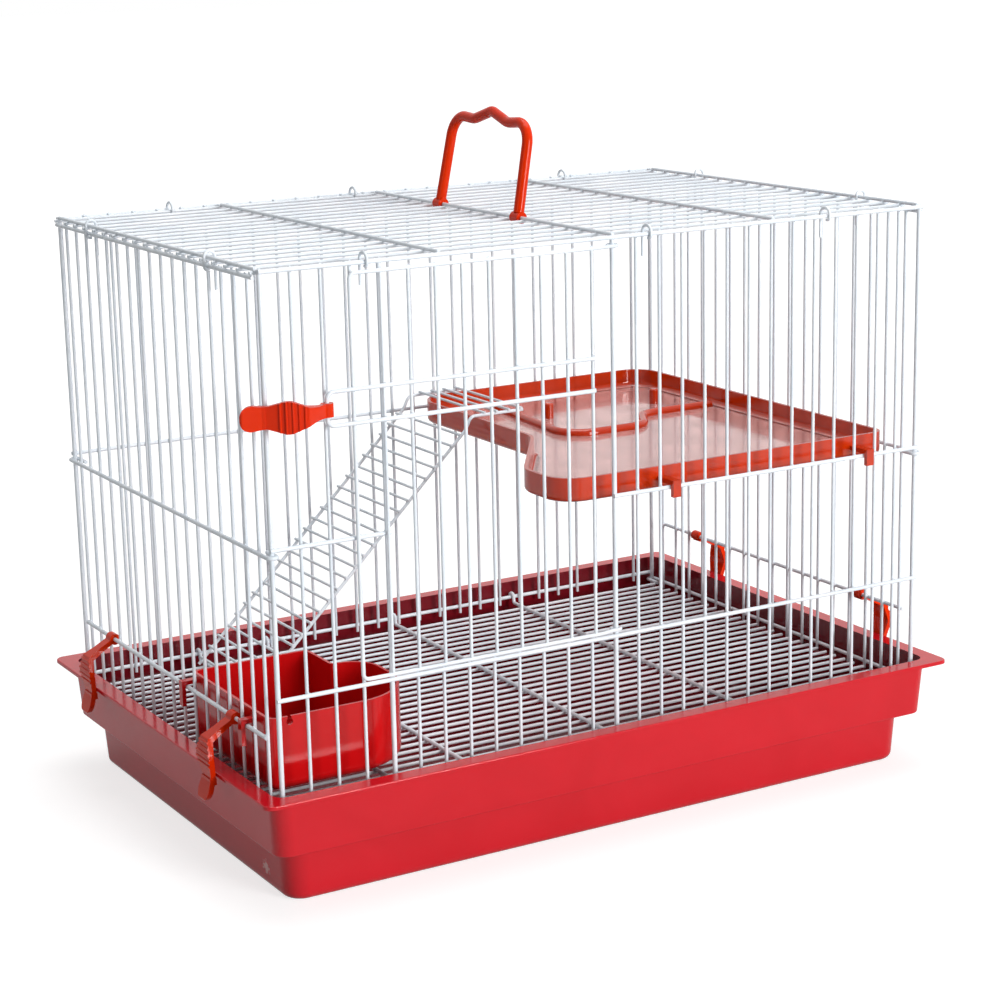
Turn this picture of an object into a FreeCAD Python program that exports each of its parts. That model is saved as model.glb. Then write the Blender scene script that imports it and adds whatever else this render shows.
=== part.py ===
import FreeCAD, Part
import math
import os

# Two-level pet cage: a plastic tray, a cage of welded wire panels that stands in it,
# a hinged front door, snap clips, a carrying handle, a shelf, a ladder and a feeder.
# Millimetres. Origin on the ground under the tray's centre, X along the front from
# left to right, the front at -Y, +Z up.

Vector = FreeCAD.Vector

# Tray
tray_length = 500.0
tray_depth = 346.0
tray_height = 71.5
tray_wall = 2.0
rim_reach = 9.0
rim_thickness = 2.3
rim_corner_radius = 6.5
rim_edge_radius = 0.8
band_draft = 2.4
band_corner_radius = 10.0
band_edge_radius = 0.8
step_height = 34.0
step_width = 9.5
base_draft = 2.0
base_corner_radius = 13.0
base_edge_radius = 5.0
ledge_depth = 20.6

# Wires
bar_diameter = 2.1
rail_diameter = 2.6
post_diameter = 3.0
roof_cross_diameter = 2.3
door_frame_diameter = 2.4
rung_diameter = 1.9
hook_wire_diameter = 1.8
weld_sink = 0.5
level_tolerance = 0.03

# Clearances
seat_gap = 0.3
piece_gap = 0.35
running_gap = 0.08
wrap_gap = 0.07
cage_side_clearance = 0.45
cage_end_clearance = 1.45
overrun = 5.0
middle_share = 0.5

# Wire walls, with heights above the foot of the corner posts
wall_height = 318.8
bar_top_reach = 1.0
end_top_lift = 3.4
end_bar_foot_rise = 5.3
end_bottom_rise = 9.8
end_mid_rise = 164.8
front_low_rise = 76.3
side_bottom_rise = 4.3
side_low_rise = 50.8
side_mid_rise = 160.8
left_bay_width = 73.5
doorway_width = 156.0
left_bay_gaps = 4
doorway_gaps = 9
right_bay_gaps = 14
back_gaps = 27
side_gaps = 16
side_bar_pitch = 17.6
rail_end_reach = 1.5
side_hook_tail = 12.0
side_top_end_gap = 1.7

# Roof
roof_gaps = 18
roof_end_reach = 3.5
roof_cross_shares = (-1.0, -0.507, 0.0, 0.507, 1.0)
roof_hook_height = 4.2
roof_hook_tail = 14.0
left_bay_hook_share = -0.5
right_bay_hook_shares = (1.5, 9.5)
back_hook_shares = (-9.0, -1.0, 9.0)
side_hook_shares = (-5.5, 5.5)

# Floor grid
floor_gaps = 28
floor_pitch = 10.2
floor_end_gap = 5.5
floor_wire_rise = 3.8
floor_hook_drop = 0.6
floor_bend_radius = 2.2
floor_cross_shares = (-0.662, -0.432, 0.022, 0.468)

# Door
door_overlap = 21.0
door_top_drop = 5.0
door_bottom_rise = 4.1
door_corner_radius = 3.6
door_loop_lead = 12.0
door_loop_bend = 5.0
door_bar_pitch = 17.5
door_bars = 9
latch_bow_reach = 17.5
latch_bow_height = 19.5
latch_bow_rise = 232.5
latch_bow_corner = 4.5
latch_bow_end_gap = 17.0

# Snap clips
clip_place_share = 5.5
clip_ring_wall = 2.3
clip_mouth = 1.9
clip_mouth_angle = -45.0
clip_thickness = 3.2
clip_neck_drop = 10.0
clip_lean = 3.3
clip_length = 46.0
clip_standoff = 1.0
clip_belly_bulge = 1.4
clip_waist_tuck = 0.6
clip_tab_half = 7.2
clip_tab_radius = 6.5
clip_waist_half = 6.1
clip_waist_radius = 12.2
clip_belly_half = 9.7
clip_neck_half = 3.9
clip_belly_drop = 20.0
clip_waist_drop = 33.5
clip_tab_drop = 40.5
clip_rib_radius = 0.75
clip_rib_pitch = 3.4
clip_rib_drop = 18.2
clip_ribs = 5
clip_nib_height = 4.0
latch_rest_angle = 28.0

# Handle
handle_rod_diameter = 6.9
handle_foot_gaps = 6
handle_place_share = 9.5
handle_leg_lean = 2.5
handle_shoulder = 60.0
handle_peak = 64.5
handle_dip = 58.2
handle_dip_share = 0.444
handle_corner_radius = 14.0
handle_dip_radius = 19.0
handle_peak_radius = 9.0
handle_tilt = 11.0
handle_hub_wall = 2.6
handle_hub_length = 9.0
handle_mouth = 1.7
handle_leg_start = 3.0

# Shelf
shelf_length = 197.0
shelf_right_gap = 16.0
shelf_end_gap = 11.0
shelf_height = 15.2
shelf_floor = 2.2
shelf_wall = 2.2
shelf_lobe = 54.0
shelf_lobe_depth = 44.0
shelf_curve_depth = 80.0
shelf_curve_radius = 26.0
shelf_corner_radius = 20.0
shelf_front_corner_radius = 10.0
shelf_back_corner_radius = 28.0
shelf_edge_radius = 3.0
shelf_cove_radius = 4.5
shelf_hook_width = 5.6
shelf_hook_thickness = 3.0
shelf_hook_tail = 7.5
shelf_hook_left_inset = 19.4
shelf_hook_right_inset = 26.9
shelf_rib_radius = 3.4
shelf_rib_lift = 1.0
shelf_rib_left = 48.0
shelf_rib_lean = 10.0
shelf_rib_far_y = 122.0
shelf_rib_near_y = 11.0
shelf_rib_step_left = 110.0
shelf_rib_step_right = 130.0
shelf_rib_step_y = 44.0
shelf_rib_end = 189.0
shelf_rib_bend = 20.0
shelf_peg_diameter = 6.6
shelf_peg_edge_radius = 1.6
shelf_peg_height = 11.0
shelf_peg_back = 77.0
shelf_peg_left = 73.0
shelf_peg_spacing = 89.5

# Ladder
ladder_width = 90.0
ladder_back_gap = 12.0
ladder_rail_diameter = 2.2
ladder_run = 172.0
ladder_foot_gap = 0.35
ladder_step_rise = 9.4
ladder_step_run = 5.0
ladder_rim_gap = 4.0
ladder_top_length = 41.0
ladder_bend_radius = 5.0
ladder_rungs = 24
ladder_top_rungs = 4
ladder_rung_reach = 2.0

# Feeder
feeder_length = 79.5
feeder_lobe = 22.5
feeder_depth = 114.0
feeder_height = 45.0
feeder_top_rise = 8.0
feeder_wall = 1.8
feeder_wire_gap = 2.4
feeder_front_gap = 19.0
feeder_corner_radius = 6.0
feeder_lobe_depth = 78.0
feeder_lobe_radius = 20.5
feeder_front_lobe_radius = 42.0
feeder_edge_radius = 5.5
feeder_hook_width = 5.0
feeder_hook_thickness = 2.5
feeder_hook_tail = 13.5
feeder_hook_inset = 21.6
feeder_notch_width = 2.2
feeder_notch_depth = 3.2
feeder_notch_bore = 4.2
feeder_notch_inset = 13.0

# Places worked out from the sizes above
rim_half_x = tray_length / 2
rim_half_y = tray_depth / 2
band_half_x = rim_half_x - rim_reach
band_half_y = rim_half_y - rim_reach
band_foot_x = band_half_x - band_draft
band_foot_y = band_half_y - band_draft
base_half_x = band_foot_x - step_width
base_half_y = band_foot_y - step_width
ledge_z = tray_height - ledge_depth
foot_z = ledge_z + seat_gap

rail_offset = (bar_diameter + rail_diameter) / 2 - weld_sink
side_rail_x = band_foot_x - tray_wall - cage_side_clearance - rail_diameter / 2
side_bar_x = side_rail_x - rail_offset
end_rail_y = band_foot_y - tray_wall - cage_end_clearance - rail_diameter / 2
end_bar_y = end_rail_y - rail_offset
wrap_radius = (post_diameter + rail_diameter) / 2 + wrap_gap
corner_x = side_rail_x - wrap_radius
wall_top_z = foot_z + wall_height
bar_top_z = wall_top_z + bar_top_reach
end_top_z = wall_top_z + end_top_lift
end_bar_top_z = end_top_z + bar_top_reach
end_bar_foot_z = foot_z + end_bar_foot_rise
end_bottom_z = foot_z + end_bottom_rise
end_mid_z = foot_z + end_mid_rise
front_low_z = foot_z + front_low_rise
side_bottom_z = foot_z + side_bottom_rise
side_low_z = foot_z + side_low_rise
side_mid_z = foot_z + side_mid_rise

door_post_x = -corner_x + left_bay_width
hinge_x = door_post_x + doorway_width
right_bay_pitch = (corner_x - hinge_x) / right_bay_gaps
back_pitch = 2 * corner_x / back_gaps

roof_wire_z = wall_top_z + rail_diameter / 2 + seat_gap + bar_diameter / 2
roof_cross_z = roof_wire_z + (bar_diameter + roof_cross_diameter) / 2 - weld_sink
roof_half_y = end_bar_y - (post_diameter + bar_diameter) / 2 - piece_gap
roof_pitch = 2 * roof_half_y / roof_gaps

floor_half_x = side_bar_x - bar_diameter / 2 - floor_end_gap
floor_z = foot_z + floor_wire_rise
floor_cross_z = floor_z + (bar_diameter + rail_diameter) / 2 - weld_sink
floor_hook_radius = rail_diameter + wrap_gap

door_y = end_rail_y + rail_diameter / 2 + piece_gap + door_frame_diameter / 2
door_left_x = door_post_x - door_overlap
door_top_z = end_top_z - door_top_drop
door_bottom_z = front_low_z + door_bottom_rise
latch_bow_y = door_y + (bar_diameter + rail_diameter) / 2 - weld_sink
latch_bow_x = door_left_x - latch_bow_reach
latch_z = foot_z + latch_bow_rise + latch_bow_height / 2

clip_ring_bore = rail_diameter / 2 + running_gap
clip_ring_radius = clip_ring_bore + clip_ring_wall
clip_reach = rim_half_x - side_rail_x + piece_gap
clip_y = clip_place_share * side_bar_pitch

shelf_right_x = side_bar_x - shelf_right_gap
shelf_left_x = shelf_right_x - shelf_length
shelf_half_y = end_bar_y - shelf_end_gap
shelf_hook_z = end_mid_z + rail_diameter / 2 + seat_gap
shelf_base_z = shelf_hook_z + shelf_hook_thickness / 2 - shelf_height / 2
shelf_top_z = shelf_base_z + shelf_height

ladder_back_y = end_bar_y - ladder_back_gap
ladder_front_y = ladder_back_y - ladder_width
ladder_top_z = shelf_top_z + ladder_foot_gap + ladder_rail_diameter / 2
ladder_step_x = shelf_left_x - ladder_rim_gap

feeder_left_x = -(side_bar_x - bar_diameter / 2 - feeder_wire_gap)
feeder_front_y = -(end_bar_y - feeder_front_gap)
feeder_top_z = side_low_z + feeder_top_rise
feeder_base_z = feeder_top_z - feeder_height


def tangent_edges(points, radii, closed):
    """Straight runs joined by tangent arcs; a radius of zero leaves a corner sharp."""
    edges = []
    count = len(points)
    pen = None
    first = None
    for i in range(count):
        corner = points[i]
        arc = None
        enter = corner
        leave = corner
        is_end = not closed and i in (0, count - 1)
        if not is_end and radii[i] > 0:
            back = (points[i - 1] - corner).normalize()
            ahead = (points[(i + 1) % count] - corner).normalize()
            half = back.getAngle(ahead) / 2
            reach = radii[i] / math.tan(half)
            enter = corner + back * reach
            leave = corner + ahead * reach
            bisector = (back + ahead).normalize()
            middle = corner + bisector * (radii[i] / math.sin(half) - radii[i])
            arc = Part.Arc(enter, middle, leave).toShape()
        if pen is not None and (enter - pen).Length > Part.Precision.confusion():
            edges.append(Part.makeLine(pen, enter))
        if arc is not None:
            edges.append(arc)
        if first is None:
            first = enter
        pen = leave
    if closed and (first - pen).Length > Part.Precision.confusion():
        edges.append(Part.makeLine(pen, first))
    return edges


def outline(corners, z):
    """Closed wire at height z through corners given as (x, y, radius)."""
    points = [Vector(x, y, z) for x, y, radius in corners]
    radii = [radius for x, y, radius in corners]
    return Part.Wire(tangent_edges(points, radii, True))


def prism(wire, height):
    return Part.Face(wire).extrude(Vector(0, 0, height))


def rounded_rectangle(half_x, half_y, radius, z):
    corners = [
        (-half_x, -half_y, radius),
        (half_x, -half_y, radius),
        (half_x, half_y, radius),
        (-half_x, half_y, radius),
    ]
    return outline(corners, z)


def edges_at(shape, z):
    """Edges that lie flat at height z."""
    flat = []
    for edge in shape.Edges:
        box = edge.BoundBox
        if max(abs(box.ZMin - z), abs(box.ZMax - z)) < level_tolerance:
            flat.append(edge)
    return flat


def box_between(low, high):
    size = high - low
    return Part.makeBox(size.x, size.y, size.z, low)


def rod(start, end, diameter):
    run = end - start
    return Part.makeCylinder(diameter / 2, run.Length, start, run)


def bent_rod(points, radii, diameter):
    """Round wire along straight runs joined by tangent arcs."""
    path = Part.Wire(tangent_edges(points, radii, False))
    ring = Part.Wire(Part.makeCircle(diameter / 2, points[0], points[1] - points[0]))
    return path.makePipeShell([ring], True, False)


def weld(solids):
    return solids[0].multiFuse(solids[1:])


def steps(start, end, gaps):
    return [start + (end - start) * i / gaps for i in range(gaps + 1)]


def save(name, shape):
    shape.exportStep("parts/" + name + ".step")
    print(name, len(shape.Solids), shape.isValid(), round(shape.Volume, 1))


def base_half(z):
    """Half sizes of the tray's tapered base at height z."""
    grow = base_draft * (z / step_height - 1)
    return base_half_x + grow, base_half_y + grow


def band_half(z):
    """Half sizes of the tray's tapered upper band at height z."""
    grow = band_draft * (z - step_height) / (tray_height - step_height)
    return band_foot_x + grow, band_foot_y + grow


def taper(half, inset, radius, low_z, high_z):
    """Tapered block that keeps an inset from the outline that half gives."""
    wires = []
    for z in (low_z, high_z):
        half_x, half_y = half(z)
        wires.append(rounded_rectangle(half_x - inset, half_y - inset, radius - inset, z))
    return Part.makeLoft(wires, True, True)


def make_tray():
    base = taper(base_half, 0, base_corner_radius, 0, ledge_z)
    base = base.makeFillet(base_edge_radius, edges_at(base, 0))
    band = taper(band_half, 0, band_corner_radius, step_height, tray_height)
    band = band.makeFillet(band_edge_radius, edges_at(band, step_height))
    rim = prism(
        rounded_rectangle(rim_half_x, rim_half_y, rim_corner_radius, tray_height - rim_thickness),
        rim_thickness,
    )
    rim = rim.makeFillet(rim_edge_radius, edges_at(rim, tray_height))
    body = base.fuse([band, rim])
    hollow = taper(base_half, tray_wall, base_corner_radius, tray_wall, ledge_z + overrun)
    hollow = hollow.makeFillet(base_edge_radius - tray_wall, edges_at(hollow, tray_wall))
    mouth = taper(band_half, tray_wall, band_corner_radius, ledge_z, tray_height + overrun)
    skirt_top = ledge_z - tray_wall
    skirt_gap = taper(band_half, tray_wall, band_corner_radius, step_height - overrun, skirt_top)
    core = taper(base_half, 0, base_corner_radius, step_height - 2 * overrun, skirt_top + overrun)
    return body.cut([hollow, mouth, skirt_gap.cut(core)])


def end_bars(places, y, foot_z_here, top_z):
    bars = []
    for x in places:
        bars.append(rod(Vector(x, y, foot_z_here), Vector(x, y, top_z), bar_diameter))
    return bars


def posts(places, y):
    wires = []
    for x in places:
        wires.append(rod(Vector(x, y, foot_z), Vector(x, y, end_bar_top_z), post_diameter))
    return wires


def end_rail(from_x, to_x, y, z):
    return rod(Vector(from_x, y, z), Vector(to_x, y, z), rail_diameter)


def make_front_panel():
    left_places = steps(-corner_x, door_post_x, left_bay_gaps)
    sill_places = steps(door_post_x, hinge_x, doorway_gaps)
    right_places = steps(hinge_x, corner_x, right_bay_gaps)
    wires = posts((-corner_x, door_post_x, hinge_x, corner_x), -end_bar_y)
    wires += end_bars(left_places[1:-1] + right_places[1:-1], -end_bar_y, end_bar_foot_z, end_bar_top_z)
    wires += end_bars(sill_places[1:-1], -end_bar_y, end_bar_foot_z, front_low_z + bar_top_reach)
    end_x = corner_x + rail_end_reach
    for z in (end_top_z, front_low_z, end_bottom_z):
        wires.append(end_rail(-end_x, end_x, -end_rail_y, z))
    wires.append(end_rail(-end_x, door_post_x + rail_end_reach, -end_rail_y, end_mid_z))
    wires.append(end_rail(hinge_x - rail_end_reach, end_x, -end_rail_y, end_mid_z))
    return weld(wires)


def make_back_panel():
    places = steps(-corner_x, corner_x, back_gaps)
    wires = posts((-corner_x, corner_x), end_bar_y)
    wires += end_bars(places[1:-1], end_bar_y, end_bar_foot_z, end_bar_top_z)
    end_x = corner_x + rail_end_reach
    for z in (end_top_z, end_mid_z, end_bottom_z):
        wires.append(end_rail(-end_x, end_x, end_rail_y, z))
    return weld(wires)


def hooked_rail(z):
    """Side rail whose ends wrap round the corner posts and run back inside the wall."""
    inner_x = side_rail_x - 2 * wrap_radius
    wrap_y = end_bar_y + wrap_radius
    tail_y = end_bar_y - side_hook_tail
    points = [
        Vector(inner_x, -tail_y, z),
        Vector(inner_x, -wrap_y, z),
        Vector(side_rail_x, -wrap_y, z),
        Vector(side_rail_x, wrap_y, z),
        Vector(inner_x, wrap_y, z),
        Vector(inner_x, tail_y, z),
    ]
    return bent_rod(points, [wrap_radius] * len(points), rail_diameter)


def make_right_panel():
    half_span = side_bar_pitch * side_gaps / 2
    wires = []
    for y in steps(-half_span, half_span, side_gaps):
        wires.append(rod(Vector(side_bar_x, y, foot_z), Vector(side_bar_x, y, bar_top_z), bar_diameter))
    top_y = end_bar_y - side_top_end_gap
    top_start = Vector(side_rail_x, -top_y, wall_top_z)
    wires.append(rod(top_start, Vector(side_rail_x, top_y, wall_top_z), rail_diameter))
    low_end = Vector(0, half_span + bar_diameter, 0)
    low_middle = Vector(side_rail_x, 0, side_low_z)
    wires.append(rod(low_middle - low_end, low_middle + low_end, rail_diameter))
    for z in (side_mid_z, side_bottom_z):
        wires.append(hooked_rail(z))
    return weld(wires)


def make_roof_panel():
    end_x = side_bar_x + roof_end_reach
    wires = []
    for y in steps(-roof_half_y, roof_half_y, roof_gaps):
        wires.append(rod(Vector(-end_x, y, roof_wire_z), Vector(end_x, y, roof_wire_z), bar_diameter))
    for share in roof_cross_shares:
        x = share * side_bar_x
        start = Vector(x, -roof_half_y, roof_cross_z)
        wires.append(rod(start, Vector(x, roof_half_y, roof_cross_z), roof_cross_diameter))
    return weld(wires)


def roof_hook(rail_d, rail_z, inner_d, place):
    """Wire hook round a wall's top rail and the roof's edge, with its tail inside the wall.

    Distances d are measured outwards; place turns a distance and a height into a point.
    """
    curl = rail_diameter / 2 + seat_gap + hook_wire_diameter / 2
    outer_d = rail_d + curl
    crown_z = roof_cross_z + roof_hook_height
    points = [
        place(inner_d, rail_z - roof_hook_tail),
        place(inner_d, crown_z),
        place(outer_d, crown_z),
        place(outer_d, rail_z - curl),
        place(rail_d - hook_wire_diameter / 2, rail_z - curl),
    ]
    arch = (outer_d - inner_d) / 2
    return bent_rod(points, [0, arch, arch, curl, 0], hook_wire_diameter)


def end_roof_hooks(places, side):
    inner_d = roof_half_y - bar_diameter / 2 - seat_gap - hook_wire_diameter / 2
    hooks = []
    for x in places:
        hooks.append(roof_hook(end_rail_y, end_top_z, inner_d, lambda d, z: Vector(x, side * d, z)))
    return Part.makeCompound(hooks)


def side_roof_hooks(places, side):
    inner_d = side_bar_x - roof_cross_diameter / 2 - seat_gap - hook_wire_diameter / 2
    hooks = []
    for y in places:
        hooks.append(roof_hook(side_rail_x, wall_top_z, inner_d, lambda d, z: Vector(side * d, y, z)))
    return Part.makeCompound(hooks)


def make_floor_grid():
    wires = []
    half_span = floor_pitch * floor_gaps / 2
    for y in steps(-half_span, half_span, floor_gaps):
        wires.append(rod(Vector(-floor_half_x, y, floor_z), Vector(floor_half_x, y, floor_z), bar_diameter))
    outer_y = end_rail_y + floor_hook_radius
    inner_y = end_rail_y - floor_hook_radius
    crown_z = end_bottom_z + floor_hook_radius
    end_z = end_bottom_z - floor_hook_drop
    radii = [0, floor_hook_radius, floor_hook_radius, floor_bend_radius]
    for share in floor_cross_shares:
        x = share * floor_half_x
        profile = [(outer_y, end_z), (outer_y, crown_z), (inner_y, crown_z), (inner_y, floor_cross_z)]
        points = [Vector(x, -y, z) for y, z in profile]
        points += [Vector(x, y, z) for y, z in reversed(profile)]
        wires.append(bent_rod(points, radii + radii[::-1], rail_diameter))
    return weld(wires)


def make_front_door():
    """Bent frame whose ends loop round the hinge post, with bars and the latch bow."""
    loop = (post_diameter + door_frame_diameter) / 2 + running_gap
    near_y = -end_bar_y - loop
    far_y = -end_bar_y + loop

    def hinge_loop(z):
        return [
            (hinge_x - door_loop_lead, -door_y, z),
            (hinge_x - loop, near_y, z),
            (hinge_x + loop, near_y, z),
            (hinge_x + loop, far_y, z),
            (hinge_x - loop, far_y, z),
            (hinge_x - loop, -end_bar_y, z),
        ]

    loop_radii = [door_loop_bend, door_loop_bend, loop, loop, loop, 0]
    corners = [(door_left_x, -door_y, door_bottom_z), (door_left_x, -door_y, door_top_z)]
    path = hinge_loop(door_bottom_z)[::-1] + corners + hinge_loop(door_top_z)
    radii = loop_radii[::-1] + [door_corner_radius] * len(corners) + loop_radii
    wires = [bent_rod([Vector(*point) for point in path], radii, door_frame_diameter)]
    for i in range(door_bars):
        x = hinge_x - door_bar_pitch * (i + 1)
        wires.append(rod(Vector(x, -door_y, door_bottom_z), Vector(x, -door_y, door_top_z), bar_diameter))
    bow_low = latch_z - latch_bow_height / 2
    bow_high = latch_z + latch_bow_height / 2
    bow_end = hinge_x - latch_bow_end_gap
    bow = [(bow_end, bow_low), (latch_bow_x, bow_low), (latch_bow_x, bow_high), (bow_end, bow_high)]
    bow_points = [Vector(x, -latch_bow_y, z) for x, z in bow]
    wires.append(bent_rod(bow_points, [latch_bow_corner] * len(bow), rail_diameter))
    return weld(wires)


def strap(points, thickness, half_width):
    """Flat bar through points in the XZ plane, rounded at its joints and ends."""
    pieces = []
    across = Vector(0, 2 * half_width, 0)
    side = Vector(0, -half_width, 0)
    for start, end in zip(points, points[1:]):
        run = (end - start).normalize()
        lift = Vector(-run.z, 0, run.x) * (thickness / 2)
        ring = [start + lift, end + lift, end - lift, start - lift, start + lift]
        pieces.append(Part.Face(Part.makePolygon([p + side for p in ring])).extrude(across))
    for point in points:
        pieces.append(Part.makeCylinder(thickness / 2, 2 * half_width, point + side, across))
    return weld(pieces)


def clip_outline():
    """Bottle-shaped front outline of a clip, as a block that trims its straight sides."""
    side = [
        (clip_neck_half, clip_ring_radius + overrun),
        (clip_neck_half, -clip_neck_drop / 2),
        (clip_belly_half, -clip_belly_drop),
        (clip_waist_half, -clip_waist_drop),
        (clip_tab_half, -clip_tab_drop),
        (clip_tab_half, -clip_length - clip_thickness / 2),
    ]
    radii = [0, clip_belly_half, clip_belly_half, clip_waist_radius, clip_tab_half, clip_tab_radius]
    points = [Vector(-overrun * 2, y, z) for y, z in side]
    points += [Vector(-overrun * 2, -y, z) for y, z in reversed(side)]
    wire = Part.Wire(tangent_edges(points, radii + radii[::-1], True))
    return Part.Face(wire).extrude(Vector(clip_reach + clip_length, 0, 0))


def make_clip():
    """Snap clip about its own pivot wire: +X leads outwards and -Z down the lever."""
    half = clip_belly_half
    along = Vector(0, 1, 0)
    bend_x = clip_reach + clip_thickness / 2 + clip_standoff
    path = [
        Vector(0, 0, 0),
        Vector(bend_x, 0, -clip_neck_drop),
        Vector(bend_x + clip_belly_bulge, 0, -clip_belly_drop),
        Vector(bend_x - clip_waist_tuck, 0, -clip_waist_drop),
        Vector(bend_x + clip_lean, 0, -clip_length),
    ]
    ring = Part.makeCylinder(clip_ring_radius, 2 * half, along * -half, along)
    lever = strap(path, clip_thickness, half)
    ribs = []
    for i in range(clip_ribs):
        drop = clip_rib_drop + clip_rib_pitch * (i - (clip_ribs - 1) / 2)
        above, below = [pair for pair in zip(path, path[1:]) if -pair[0].z <= drop < -pair[1].z][0]
        run = (below - above).normalize()
        face = Vector(-run.z, 0, run.x) * (clip_thickness / 2)
        place = above + (below - above) * ((drop + above.z) / (above.z - below.z)) + face
        ribs.append(Part.makeCylinder(clip_rib_radius, 2 * half, place - along * half, along))
    nib_z = -clip_waist_drop
    nib = box_between(
        Vector(clip_reach, -half, nib_z - clip_nib_height),
        Vector(bend_x + clip_lean / 2, half, nib_z),
    )
    body = weld([ring, lever, nib] + ribs).common(clip_outline())
    bore = Part.makeCylinder(clip_ring_bore, 4 * half, along * (-2 * half), along)
    mouth = box_between(Vector(-overrun, -2 * half, -clip_mouth / 2), Vector(0, 2 * half, clip_mouth / 2))
    mouth.rotate(Vector(0, 0, 0), along, clip_mouth_angle)
    return body.cut([bore, mouth])


def tray_clip(clip, side, y):
    turn = 0 if side > 0 else 180
    placed = clip.copy()
    placed.rotate(Vector(0, 0, 0), Vector(0, 0, 1), turn)
    placed.translate(Vector(side * side_rail_x, y, side_low_z))
    return placed


def door_latch(clip):
    """The same clip, lying along the door with its ring on the upright end of the bow."""
    out = Vector(0, -1, 0)
    down_lever = Vector(1, 0, 0)
    placed = clip.copy()
    turn = FreeCAD.Rotation(out, down_lever.cross(out), down_lever, "XYZ")
    placed.Placement = FreeCAD.Placement(Vector(0, 0, 0), turn)
    placed.rotate(Vector(0, 0, 0), Vector(0, 0, 1), -latch_rest_angle)
    placed.translate(Vector(latch_bow_x, -latch_bow_y, latch_z))
    return placed


def make_carry_handle():
    """Wavy grip on two legs whose feet snap round the roof's middle cross wire."""
    foot = roof_pitch * handle_foot_gaps / 2
    top = foot - handle_leg_lean
    dip = top * handle_dip_share
    half = [(foot, handle_leg_start), (top, handle_shoulder), (dip, handle_dip)]
    profile = half + [(0, handle_peak)] + [(-y, z) for y, z in reversed(half)]
    radii = [0, handle_corner_radius, handle_dip_radius, handle_peak_radius]
    pieces = [bent_rod([Vector(0, y, z) for y, z in profile], radii + radii[2::-1], handle_rod_diameter)]
    bore = roof_cross_diameter / 2 + running_gap
    along = Vector(0, 1, 0)
    cuts = []
    for y in (-foot, foot):
        start = Vector(0, y - handle_hub_length / 2, 0)
        pieces.append(Part.makeCylinder(bore + handle_hub_wall, handle_hub_length, start, along))
        hole_start = start - along * overrun
        cuts.append(Part.makeCylinder(bore, handle_hub_length + 2 * overrun, hole_start, along))
        slot_low = hole_start - Vector(handle_mouth / 2, 0, overrun + handle_hub_wall)
        slot_high = Vector(handle_mouth / 2, y + handle_hub_length / 2 + overrun, 0)
        cuts.append(box_between(slot_low, slot_high))
    handle = weld(pieces).cut(cuts)
    handle.rotate(Vector(0, 0, 0), along, handle_tilt)
    handle.translate(Vector(0, -roof_half_y + roof_pitch * handle_place_share, roof_cross_z))
    return handle


def hanging_hook(root, rail_reach, tail, width, thickness):
    """Flat hook from the origin over a rail along +X, with its tail hanging beyond."""
    arm = box_between(Vector(-root, -width / 2, 0), Vector(rail_reach + thickness, width / 2, thickness))
    drop = box_between(
        Vector(rail_reach, -width / 2, -tail),
        Vector(rail_reach + thickness, width / 2, thickness),
    )
    return arm.fuse(drop)


def gap_middle(place, bar_place, pitch):
    """Middle of the gap that holds place, between bars a pitch apart with one at bar_place."""
    return bar_place + (math.floor((place - bar_place) / pitch) + middle_share) * pitch


def shelf_outline(z):
    lobe_x = shelf_left_x - shelf_lobe
    curve_start = -shelf_half_y + shelf_lobe_depth
    curve_end = curve_start + shelf_curve_depth
    corners = [
        (lobe_x, -shelf_half_y, shelf_corner_radius),
        (shelf_right_x, -shelf_half_y, shelf_front_corner_radius),
        (shelf_right_x, shelf_half_y, shelf_corner_radius),
        (shelf_left_x, shelf_half_y, shelf_back_corner_radius),
        (shelf_left_x, curve_end, shelf_curve_radius),
        (lobe_x, curve_start, shelf_curve_radius),
    ]
    return outline(corners, z)


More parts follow.
